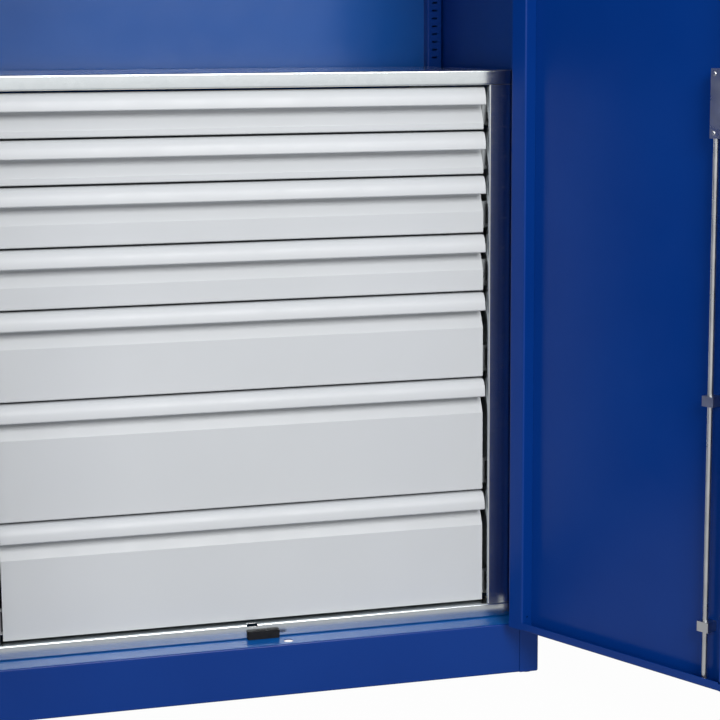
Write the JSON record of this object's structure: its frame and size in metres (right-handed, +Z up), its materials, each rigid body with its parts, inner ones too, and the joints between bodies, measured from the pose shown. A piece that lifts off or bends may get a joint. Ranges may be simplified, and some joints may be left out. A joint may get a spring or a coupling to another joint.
{
  "type": "heavy-duty storage cabinet",
  "caption": "Upright steel cabinet with hinged doors, a block of graded full-width drawers on telescopic runners below adjustable shelves, and a swivel handle that works lock rods.",
  "frame": {"origin": "on the floor line, in the middle of the rectangle of floor anchor holes, which is the middle of the footprint", "axes": "+X to the cabinet's right seen from its front, +Y to the rear, +Z up"},
  "size_m": [1.3664, 1.0551, 1.95],
  "materials": {
    "blue_paint": "satin powder coat, gentian blue",
    "grey_paint": "satin powder coat, light grey",
    "zinc_sheet": "bare zinc-coated sheet",
    "plated_steel": "zinc plated",
    "dark_steel": "blackened steel",
    "rubber": "moulded black rubber",
    "black_plastic": "fine grained black plastic",
    "chrome": "polished chrome"
  },
  "bodies": {
    "carcass": {"side_panel_left": "blue_paint", "side_panel_right": "blue_paint", "rear_panel": "blue_paint", "top_panel": "blue_paint", "base_pan": "blue_paint", "floor_beams": "blue_paint", "levelling_feet": "dark_steel", "shelf_uprights": "blue_paint", "shelf_lower": "blue_paint", "shelf_upper": "blue_paint", "shelf_clips": "plated_steel", "block_side_left": "zinc_sheet", "block_side_right": "zinc_sheet", "block_top": "zinc_sheet", "block_base_rails": "zinc_sheet", "cabinet_rails": "plated_steel", "door_buffer": "rubber", "hinge_leaves": "blue_paint", "hinge_pins": "plated_steel"},
    "door_left": {"door_left": "blue_paint", "door_left_leaf": "blue_paint", "overlap_strip": "blue_paint"},
    "door_right": {"door_right": "blue_paint", "door_right_leaf": "blue_paint", "handle_plate": "black_plastic", "lock_case": "plated_steel", "rod_guides": "plated_steel"},
    "lock_handle": {"lock_pinion": "plated_steel", "swivel_handle": "black_plastic", "key_barrel": "chrome"},
    "lock_rod_upper": {"lock_rod_upper": "plated_steel"},
    "lock_rod_lower": {"lock_rod_lower": "plated_steel"},
    "drawer_1": {"drawer_1_front": "grey_paint", "drawer_1_tray": "grey_paint", "drawer_1_rails": "plated_steel"},
    "drawer_2": {"drawer_2_front": "grey_paint", "drawer_2_tray": "grey_paint", "drawer_2_rails": "plated_steel"},
    "drawer_3": {"drawer_3_front": "grey_paint", "drawer_3_tray": "grey_paint", "drawer_3_rails": "plated_steel"},
    "drawer_4": {"drawer_4_front": "grey_paint", "drawer_4_tray": "grey_paint", "drawer_4_rails": "plated_steel"},
    "drawer_5": {"drawer_5_front": "grey_paint", "drawer_5_tray": "grey_paint", "drawer_5_rails": "plated_steel"},
    "drawer_6": {"drawer_6_front": "grey_paint", "drawer_6_tray": "grey_paint", "drawer_6_rails": "plated_steel"},
    "drawer_7": {"drawer_7_front": "grey_paint", "drawer_7_tray": "grey_paint", "drawer_7_rails": "plated_steel"},
    "drawer_1_mid": {"drawer_1_mid_rails": "plated_steel"},
    "drawer_2_mid": {"drawer_2_mid_rails": "plated_steel"},
    "drawer_3_mid": {"drawer_3_mid_rails": "plated_steel"},
    "drawer_4_mid": {"drawer_4_mid_rails": "plated_steel"},
    "drawer_5_mid": {"drawer_5_mid_rails": "plated_steel"},
    "drawer_6_mid": {"drawer_6_mid_rails": "plated_steel"},
    "drawer_7_mid": {"drawer_7_mid_rails": "plated_steel"}
  },
  "joints": [
    {"name": "door_left_hinge", "type": "hinge", "parent": "carcass", "child": "door_left", "pos_m": [-0.464, -0.2955, 1], "axis": [0, 0, -1], "range_deg": [-118, 52]},
    {"name": "door_right_hinge", "type": "hinge", "parent": "carcass", "child": "door_right", "pos_m": [0.464, -0.2955, 1], "axis": [0, 0, 1], "range_deg": [-118, 52]},
    {"name": "handle_turn", "type": "hinge", "parent": "door_right", "child": "lock_handle", "pos_m": [0.65761, -0.67135, 1], "axis": [0.8829, 0.4695, 0], "range_deg": [-90, 0]},
    {"name": "lock_rod_upper_slide", "type": "slide", "parent": "door_right", "child": "lock_rod_upper", "axis": [0, 0, 1], "range_m": [0, 0.01537]},
    {"name": "lock_rod_lower_slide", "type": "slide", "parent": "door_right", "child": "lock_rod_lower", "axis": [0, 0, 1], "range_m": [-0.01537, 0]},
    {"name": "drawer_1_slide", "type": "slide", "parent": "carcass", "child": "drawer_1", "axis": [0, -1, 0], "range_m": [0, 0.42]},
    {"name": "drawer_1_mid_slide", "type": "slide", "parent": "carcass", "child": "drawer_1_mid", "axis": [0, -1, 0], "range_m": [0, 0.21]},
    {"name": "drawer_2_slide", "type": "slide", "parent": "carcass", "child": "drawer_2", "axis": [0, -1, 0], "range_m": [0, 0.42]},
    {"name": "drawer_2_mid_slide", "type": "slide", "parent": "carcass", "child": "drawer_2_mid", "axis": [0, -1, 0], "range_m": [0, 0.21]},
    {"name": "drawer_3_slide", "type": "slide", "parent": "carcass", "child": "drawer_3", "axis": [0, -1, 0], "range_m": [0, 0.42]},
    {"name": "drawer_3_mid_slide", "type": "slide", "parent": "carcass", "child": "drawer_3_mid", "axis": [0, -1, 0], "range_m": [0, 0.21]},
    {"name": "drawer_4_slide", "type": "slide", "parent": "carcass", "child": "drawer_4", "axis": [0, -1, 0], "range_m": [0, 0.42]},
    {"name": "drawer_4_mid_slide", "type": "slide", "parent": "carcass", "child": "drawer_4_mid", "axis": [0, -1, 0], "range_m": [0, 0.21]},
    {"name": "drawer_5_slide", "type": "slide", "parent": "carcass", "child": "drawer_5", "axis": [0, -1, 0], "range_m": [0, 0.42]},
    {"name": "drawer_5_mid_slide", "type": "slide", "parent": "carcass", "child": "drawer_5_mid", "axis": [0, -1, 0], "range_m": [0, 0.21]},
    {"name": "drawer_6_slide", "type": "slide", "parent": "carcass", "child": "drawer_6", "axis": [0, -1, 0], "range_m": [0, 0.42]},
    {"name": "drawer_6_mid_slide", "type": "slide", "parent": "carcass", "child": "drawer_6_mid", "axis": [0, -1, 0], "range_m": [0, 0.21]},
    {"name": "drawer_7_slide", "type": "slide", "parent": "carcass", "child": "drawer_7", "axis": [0, -1, 0], "range_m": [0, 0.42]},
    {"name": "drawer_7_mid_slide", "type": "slide", "parent": "carcass", "child": "drawer_7_mid", "axis": [0, -1, 0], "range_m": [0, 0.21]}
  ],
  "couplings": [
    {"joint": "lock_rod_upper_slide", "follows": "handle_turn", "m_per_rad": -0.00975},
    {"joint": "lock_rod_lower_slide", "follows": "handle_turn", "m_per_rad": 0.00975},
    {"joint": "drawer_1_mid_slide", "follows": "drawer_1_slide", "ratio": 0.5},
    {"joint": "drawer_2_mid_slide", "follows": "drawer_2_slide", "ratio": 0.5},
    {"joint": "drawer_3_mid_slide", "follows": "drawer_3_slide", "ratio": 0.5},
    {"joint": "drawer_4_mid_slide", "follows": "drawer_4_slide", "ratio": 0.5},
    {"joint": "drawer_5_mid_slide", "follows": "drawer_5_slide", "ratio": 0.5},
    {"joint": "drawer_6_mid_slide", "follows": "drawer_6_slide", "ratio": 0.5},
    {"joint": "drawer_7_mid_slide", "follows": "drawer_7_slide", "ratio": 0.5}
  ]
}
